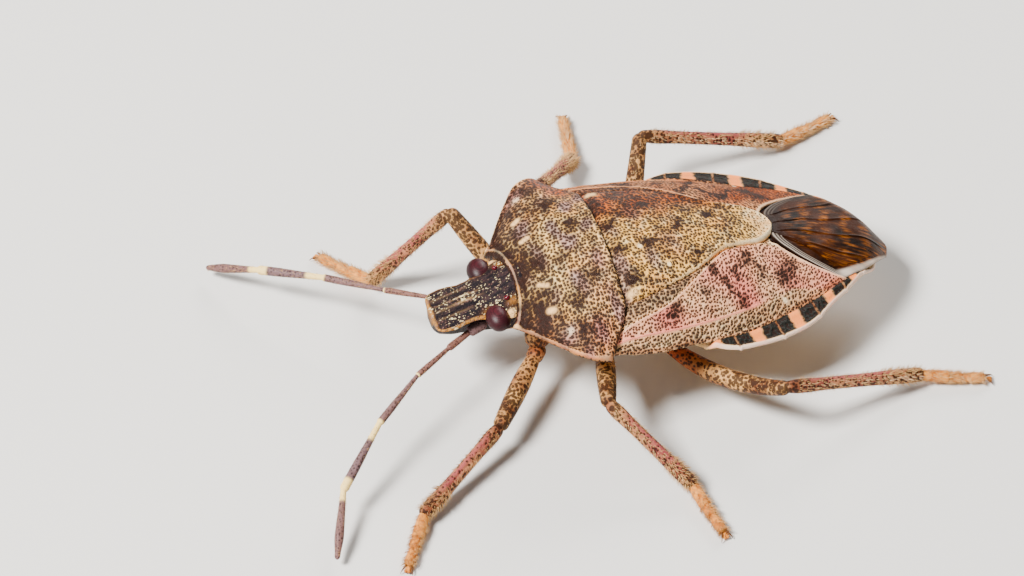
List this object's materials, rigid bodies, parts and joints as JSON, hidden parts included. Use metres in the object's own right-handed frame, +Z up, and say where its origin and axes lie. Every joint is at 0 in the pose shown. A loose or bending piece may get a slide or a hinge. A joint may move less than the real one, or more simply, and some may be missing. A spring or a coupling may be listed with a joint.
{
  "type": "shield bug",
  "caption": "Adult brown shield bug standing still, legs spread and antennae forward: flat shield-shaped body, folded wings with clear tips, banded rim and slender legs.",
  "frame": {"origin": "centre of the bounding box at floor level, under the insect", "axes": "+Z up, +Y towards the tail, -Y the way the head points, +X the insect's own left"},
  "size_m": [0.0192, 0.0228, 0.0046],
  "materials": {
    "mottled_shell": "satin, pitted, mottled brown",
    "wing_leather": "satin, pitted, reddish brown",
    "wing_membrane": "glossy dark amber",
    "belly_shell": "satin, pale yellow-brown",
    "eye_gloss": "glossy dark maroon, faceted",
    "leg_shell": "satin, speckled brown",
    "foot_shell": "satin orange-brown",
    "antenna_shell": "satin dark brown with pale bands"
  },
  "bodies": {
    "root": {"head": "mottled_shell", "pronotum": "mottled_shell", "scutellum": "mottled_shell", "thorax": "belly_shell", "abdomen": "belly_shell", "beak": "belly_shell", "eye_left": "eye_gloss", "antenna_left": "antenna_shell", "wing_left": "wing_leather", "membrane_left": "wing_membrane", "eye_right": "eye_gloss", "antenna_right": "antenna_shell", "wing_right": "wing_leather", "membrane_right": "wing_membrane", "coxa_left_front": "leg_shell", "femur_left_front": "leg_shell", "tibia_left_front": "leg_shell", "foot_left_front": "foot_shell", "coxa_left_middle": "leg_shell", "femur_left_middle": "leg_shell", "tibia_left_middle": "leg_shell", "foot_left_middle": "foot_shell", "coxa_left_hind": "leg_shell", "femur_left_hind": "leg_shell", "tibia_left_hind": "leg_shell", "foot_left_hind": "foot_shell", "coxa_right_front": "leg_shell", "femur_right_front": "leg_shell", "tibia_right_front": "leg_shell", "foot_right_front": "foot_shell", "coxa_right_middle": "leg_shell", "femur_right_middle": "leg_shell", "tibia_right_middle": "leg_shell", "foot_right_middle": "foot_shell", "coxa_right_hind": "leg_shell", "femur_right_hind": "leg_shell", "tibia_right_hind": "leg_shell", "foot_right_hind": "foot_shell"}
  },
  "joints": []
}
